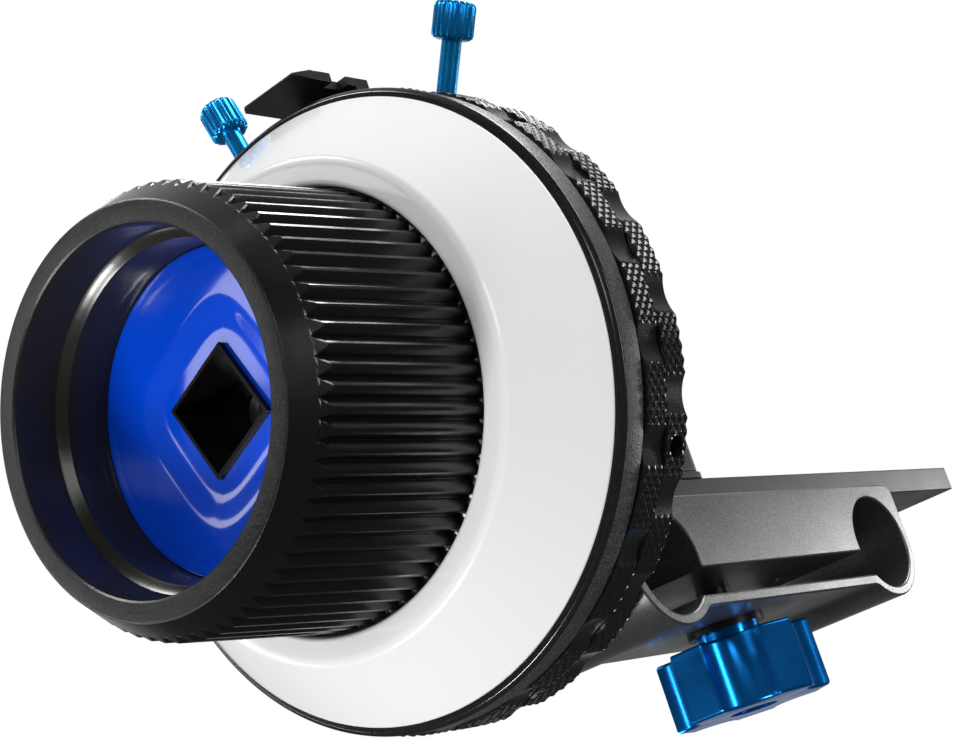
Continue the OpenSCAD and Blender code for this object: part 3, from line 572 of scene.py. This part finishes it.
def knurled_ring(name, node, body, spare_clock, phase, finish):
    """A ring whose outside is the lower of two surfaces: blunt pyramids, whose feet are the
    lines of a slanted lattice, and the scallops' hollow cylinders. Near the spare
    hole, places move on to its rim, and those inside it go down to the bore."""
    low, high = (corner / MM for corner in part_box(node))
    front = low.y - face_y
    width = high.y - low.y
    columns = knurl_count * knurl_samples
    rows = knurl_rows * knurl_samples
    clock = np.arange(columns)[None] * 2 * np.pi / columns
    step = np.arange(rows + 1)[:, None]
    slant_up = (np.arange(columns)[None] + step) / knurl_samples
    slant_down = (np.arange(columns)[None] - step) / knurl_samples
    rise = 1 - np.maximum(np.abs(2 * (slant_up % 1) - 1), np.abs(2 * (slant_down % 1) - 1))
    land = ring_r - knurl_depth * (1 - np.clip(rise / knurl_top, 0, 1))
    off = (clock - phase + scallop_step / 2) % scallop_step - scallop_step / 2
    chord = scallop_r**2 - (scallop_centre_r * np.sin(off)) ** 2
    hollow = scallop_centre_r * np.cos(off) - np.sqrt(np.clip(chord, 0, None))
    radius = np.minimum(land, np.where(chord > 0, hollow, ring_r))
    back = np.broadcast_to(step / rows * width, radius.shape).copy()
    clocks = np.broadcast_to(clock, radius.shape).copy()
    back[0] += ring_edge
    back[-1] -= ring_edge
    sideways = ((clocks - spare_clock + np.pi) % (2 * np.pi) - np.pi) * ring_r
    along = back - width / 2
    away = np.hypot(sideways, along)
    rim = np.abs(away - spare_hole_r) < hole_rim_w
    inside = away <= spare_hole_r - hole_rim_w
    pull = np.where(rim, spare_hole_r / np.maximum(away, 1e-6), np.where(inside, 0.9, 1.0))
    clocks += (pull - 1) * sideways / ring_r
    back += (pull - 1) * along
    sunk = np.where(inside, ring_bore_r + 0.5, radius)
    radius = np.where(rim, ring_r - hole_round, sunk)
    edge = radius[[0, -1]] - ring_edge
    bore = np.full((1, columns), ring_bore_r)
    places = [
        on_wheel(bore, clock, front),
        on_wheel(edge[:1], clock, front),
        on_wheel(radius, clocks, front + back),
        on_wheel(edge[1:], clock, front + width),
        on_wheel(bore, clock, front + width),
    ]
    ring = skin(name, np.concatenate(places), body, (finish,), sharp=26.0)
    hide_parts(node)


knurl_black = worked_finish(
    "knurl_black", (0.006, 0.006, 0.007), 0.22, 0.22, 0.012, 0.4, shine=0.55
)
phase_a = phase_b + scallop_step / 2
spare_a = clock_a - spare_turn
spare_b = clock_b + spare_turn
knurled_ring("front_stop_ring", "stop_ring_a", "ring_a", spare_a, phase_a, knurl_black)
knurled_ring("rear_stop_ring", "stop_ring_b", "ring_b", spare_b, phase_b, knurl_black)

# ---- Stop screws ----
# Blue anodised thumbscrews. The shank goes through its ring and meets the index pointer
# when the wheel comes to its stop, and the head is fluted for the fingers.
shank_r = 1.45
head_r = 3.0
head_seat = 52.8
head_top = 58.2
shank_tip = 38.3
flute_count = 18
flute_depth = 0.28
flute_samples = 10
crest_push = 1.35
end_r = 0.02
screw_profile = np.array(
    [
        (end_r, shank_tip),
        (shank_r - 0.3, shank_tip),
        (shank_r, shank_tip + 0.3),
        (shank_r, head_seat - 0.15),
        (shank_r + 0.15, head_seat),
        (head_r - 0.75, head_seat),
        (head_r - 0.5, head_seat + 0.1),
        (head_r - 0.08, head_seat + 0.45),
        (head_r, head_seat + 0.75),
        (head_r, head_top - 0.75),
        (head_r - 0.08, head_top - 0.45),
        (head_r - 0.4, head_top - 0.1),
        (head_r - 0.9, head_top),
        (end_r, head_top),
    ]
)
# The share of the flutes' depth that each row of the profile takes.
fluted = np.array([0, 0, 0, 0, 0, 0, 0.4, 1, 1, 1, 1, 0.4, 0, 0])[:, None]


def thumbscrew(name, node, body, clock, finish):
    """A turned screw about a radial axis. Round its head, the radius falls by the flute's
    depth times a cosine wave cut flat at its crests, with one trough for each flute."""
    low, high = (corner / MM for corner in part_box(node))
    columns = flute_count * flute_samples
    turn = np.arange(columns)[None] * 2 * np.pi / columns
    wave = np.clip(crest_push * np.cos(flute_count * turn), -1, 1) * 0.5 + 0.5
    radius = screw_profile[:, :1] - fluted * flute_depth * (1 - wave)
    side = radius * np.cos(turn)
    out = screw_profile[:, 1:]
    x = axis_x + out * np.sin(clock) + side * np.cos(clock)
    y = (low.y + high.y) / 2 + radius * np.sin(turn)
    z = axis_z + out * np.cos(clock) - side * np.sin(clock)
    places = np.stack([x, y, z], axis=-1) * MM
    screw = skin(name, places, body, (finish,), ring=False, sharp=38.0)
    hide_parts(node)


screw_blue = worked_finish(
    "screw_blue", (0.010, 0.300, 0.74), 0.24, 0.20, 0.006, 0.15, 0.85, cloud=6.0
)
thumbscrew("front_ring_screw", "stop_screw_a", "screw_a", clock_a, screw_blue)
thumbscrew("rear_ring_screw", "stop_screw_b", "screw_b", clock_b, screw_blue)

# ---- Rod bracket ----
# Milled from an aluminium block, bead-blasted and anodised dark grey. It springs closed on
# two rods when the knob pulls its thin lower jaw up.


def broken_edges(node, name, body, finish, width, steps=2, over=30.0):
    """A CAD solid's own surface, its triangles joined, its flat faces made whole, and every
    edge sharper than an angle in degrees broken by a rounded chamfer of a width in mm."""
    same_place = 2e-6
    flat_within = np.radians(0.5)
    mesh = solids[node].data.copy()
    mesh.name = name
    work = bmesh.new()
    work.from_mesh(mesh)
    bmesh.ops.remove_doubles(work, verts=work.verts, dist=same_place)
    bmesh.ops.dissolve_limit(
        work, angle_limit=flat_within, verts=work.verts, edges=work.edges
    )
    work.to_mesh(mesh)
    work.free()
    mesh.materials.clear()
    mesh.materials.append(finish)
    mesh.shade_smooth()
    mesh.set_sharp_from_angle(angle=np.radians(over))
    piece = bpy.data.objects.new(name, mesh)
    studio.collection.objects.link(piece)
    chamfer = piece.modifiers.new("broken_edges", "BEVEL")
    chamfer.width = width * MM
    chamfer.segments = steps
    chamfer.limit_method = "ANGLE"
    chamfer.angle_limit = np.radians(over)
    chamfer.use_clamp_overlap = False
    even_faces = piece.modifiers.new("even_faces", "WEIGHTED_NORMAL")
    even_faces.keep_sharp = True
    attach(piece, body)
    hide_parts(node)


bracket_grey = worked_finish(
    "bracket_grey", (0.13, 0.13, 0.132), 0.34, 0.24, 0.020, 0.30, 0.8, 0.5
)
broken_edges(
    "rod_bracket", "blasted_bracket", "bracket", bracket_grey, 0.28
)

# ---- Clamp knob ----
# A five-lobed aluminium knob, tumbled to soften its edges and anodised blue. It turns on
# the stud that pulls the jaw, the bracket and the rail together.
knob_low, knob_high = (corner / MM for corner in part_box("clamp_knob"))
knob_y = 30.0
knob_base = knob_low.z
knob_top = knob_high.z
lobe_count = 5
lobe_reach = 11.6
lobe_turn = np.radians(-21.6)
lobe_edge = 0.55
valley_r = 9.1
valley_curve_r = 5.5
neck_r = 5.0
neck_h = 1.7
neck_round = 0.2
bore_r = 2.55
under_r = 3.6
under_edge_r = 3.8
under_h = 1.0
under_round = 0.2
lobe_top = knob_top - neck_h
lobe_columns = 64
knob_columns = lobe_count * lobe_columns
knob_turn = np.arange(knob_columns) * 2 * np.pi / knob_columns
half_step = np.pi / lobe_count
from_lobe = (knob_turn - lobe_turn + half_step) % (2 * half_step) - half_step
from_valley = half_step - np.abs(from_lobe)

# A lobe's flat end stands at its reach, so its radius is that divided by the cosine of the
# angle from the lobe's middle. A flute is a circle whose middle stands outside the knob.
flat_end = lobe_reach / np.cos(from_lobe)
valley_middle = valley_r + valley_curve_r
reach_across = np.clip(valley_curve_r**2 - (valley_middle * np.sin(from_valley)) ** 2, 0, None)
valley = np.where(
    valley_curve_r > valley_middle * np.sin(from_valley),
    valley_middle * np.cos(from_valley) - np.sqrt(reach_across),
    flat_end + lobe_edge * 2,
)
# The outline is the smaller of the two, blended over a short span where they meet, and a
# little less than the blend there, which rounds the corner.
blend = np.clip(0.5 + 0.5 * (valley - flat_end) / lobe_edge, 0, 1)
lobes = valley * (1 - blend) + flat_end * blend - lobe_edge * 0.5 * blend * (1 - blend)
round_off = np.radians([0, 18, 36, 54, 72, 90])
round_in = lobe_edge * (1 - np.sin(round_off))
round_up = lobe_edge * (1 - np.cos(round_off))

# Each row of the knob's skin has a share of the lobed outline, a radius added to it, and a
# height: down the bore, out through the recess underneath, up the lobes and up the neck.
knob_rows = [
    (0.0, bore_r, knob_top),
    (0.0, bore_r, knob_base + under_h),
    (0.0, under_r, knob_base + under_h),
    (0.0, under_r, knob_base + under_round),
    (0.0, under_edge_r, knob_base),
]
knob_rows += [(1.0, -inset, knob_base + up) for inset, up in zip(round_in, round_up)]
knob_rows += [
    (1.0, -inset, lobe_top - down) for inset, down in zip(round_in[::-1], round_up[::-1])
]
knob_rows += [
    (0.0, neck_r + neck_round, lobe_top),
    (0.0, neck_r, lobe_top + neck_round),
    (0.0, neck_r, knob_top),
]
lobe_share, knob_extra, knob_level = np.array(knob_rows).T[:, :, None]
knob_radius = lobe_share * lobes + knob_extra
knob_places = np.stack(
    np.broadcast_arrays(
        knob_radius * np.cos(knob_turn), knob_y + knob_radius * np.sin(knob_turn), knob_level
    ),
    axis=-1,
)
knob_blue = worked_finish(
    "knob_blue", (0.008, 0.235, 0.78), 0.22, 0.25, 0.003, 0.05, 0.94, cloud=9.0
)
knob = skin("lobed_knob", knob_places * MM, "knob", (knob_blue,), sharp=40.0)
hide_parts("clamp_knob")

# ---- Slide rail, gearbox and pointer ----
# A flat black rail under a closed gearbox block, both milled, finely blasted and anodised.
# The pointer is a bent blade with a sharpened front edge, screwed on the gearbox.
body_black = worked_finish(
    "body_black", (0.010, 0.010, 0.011), 0.38, 0.18, 0.020, 0.5, shine=0.5
)
broken_edges("slide_rail", "milled_rail", "arm", body_black, 0.18)
broken_edges("gearbox_housing", "gearbox_block", "arm", body_black, 0.25)
broken_edges("gearbox_base", "gearbox_foot", "arm", body_black, 0.15)
pointer_black = worked_finish(
    "pointer_black", (0.007, 0.007, 0.008), 0.34, 0.25, 0.015, 0.4, shine=0.4
)
broken_edges("index_pointer", "sharpened_pointer", "arm", pointer_black, 0.08)

# ---- Shafts, gears, bushings and screws ----
# Ground steel shafts and cut steel bevel gears turn in sintered bronze bushings. The drive
# gear is black acetal, the screws are bright steel, and the clamp's stud, pin and washer
# are blackened steel.
ground_steel = worked_finish("ground_steel", (0.42, 0.43, 0.44), 0.28, 0.4, 0.004, 0.08, 1.0)
cut_steel = worked_finish("cut_steel", (0.30, 0.31, 0.32), 0.36, 0.3, 0.008, 0.15, 1.0)
bronze = worked_finish("sintered_bronze", (0.45, 0.27, 0.10), 0.45, 0.15, 0.020, 0.30, 1.0)
acetal = worked_finish(
    "black_acetal", (0.012, 0.012, 0.013), 0.42, 0.5, 0.006, 0.15, shine=0.45
)
black_oxide = worked_finish("black_oxide", (0.020, 0.020, 0.021), 0.35, 0.3, 0.006, 0.3, 0.4)
dress(ground_steel, "input_shaft", "output_shaft")
dress(black_oxide, "clamp_stud", "guide_pin", "clamp_washer")
dress(ground_steel, "gear_washer", "gear_screw", "rail_screws", "hub_screw", "carrier_screws")
dress(ground_steel, "disc_screws", "retainer_screws")
dress(cut_steel, "input_bevel_gear", "output_bevel_gear", "pointer_screws")
dress(bronze, "input_bushing", "output_bushing")
dress(acetal, "drive_gear")
